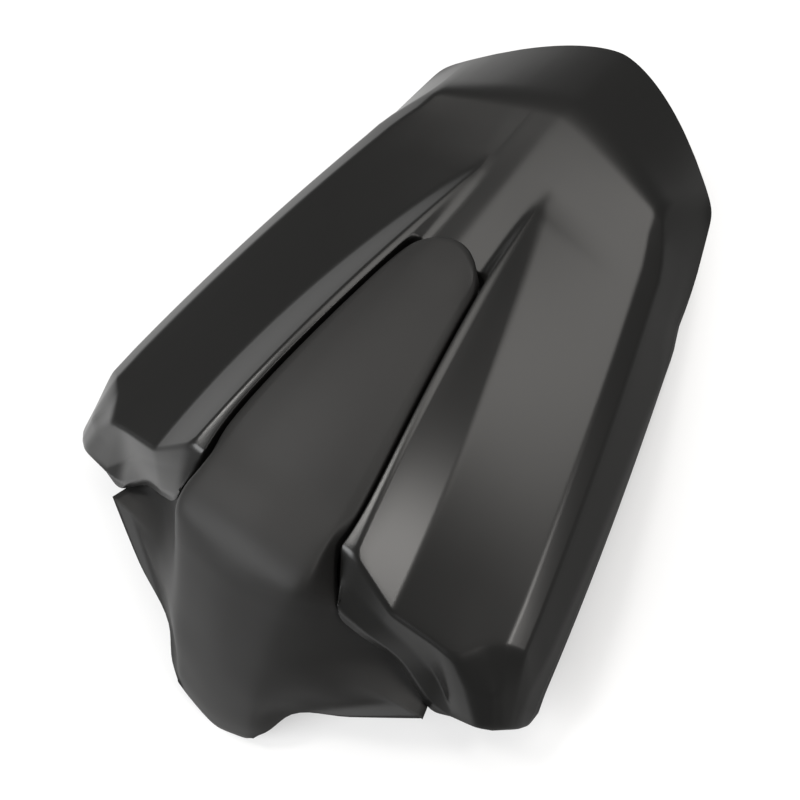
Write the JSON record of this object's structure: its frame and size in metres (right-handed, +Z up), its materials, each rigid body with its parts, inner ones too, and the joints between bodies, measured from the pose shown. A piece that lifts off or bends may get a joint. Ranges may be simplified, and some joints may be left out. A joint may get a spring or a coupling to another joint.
{
  "type": "seat cowl",
  "caption": "Motorcycle seat cowl: a smooth shell with tapering arms around a grained centre panel, on a base pan with a lock striker, a rear hook and rubber dampers.",
  "frame": {"origin": "middle of the footprint, at floor level", "axes": "+Z up, +Y towards the tail, +X to the cowl's right-hand arm in the picture"},
  "size_m": [0.247, 0.35, 0.0885],
  "materials": {
    "satin_black_paint": "satin black paint on moulded plastic",
    "grained_plastic": "fine matte grain",
    "pan_plastic": "moulded black",
    "zinc_steel": "zinc plated",
    "fastener_steel": "zinc plated",
    "damper_rubber": "black rubber"
  },
  "bodies": {
    "root": {"outer_cowl": "satin_black_paint", "centre_panel": "grained_plastic", "base_pan": "pan_plastic", "striker_loop": "zinc_steel", "striker_plate": "zinc_steel", "striker_bolts": "fastener_steel", "striker_nuts": "fastener_steel", "hook_plate": "zinc_steel", "hook_bolts": "fastener_steel", "hook_nuts": "fastener_steel", "front_damper_left": "damper_rubber", "front_damper_right": "damper_rubber", "rear_damper_left": "damper_rubber", "rear_damper_right": "damper_rubber", "panel_screws": "fastener_steel", "panel_washers": "fastener_steel", "pan_screws": "fastener_steel", "pan_washers": "fastener_steel"}
  },
  "joints": []
}
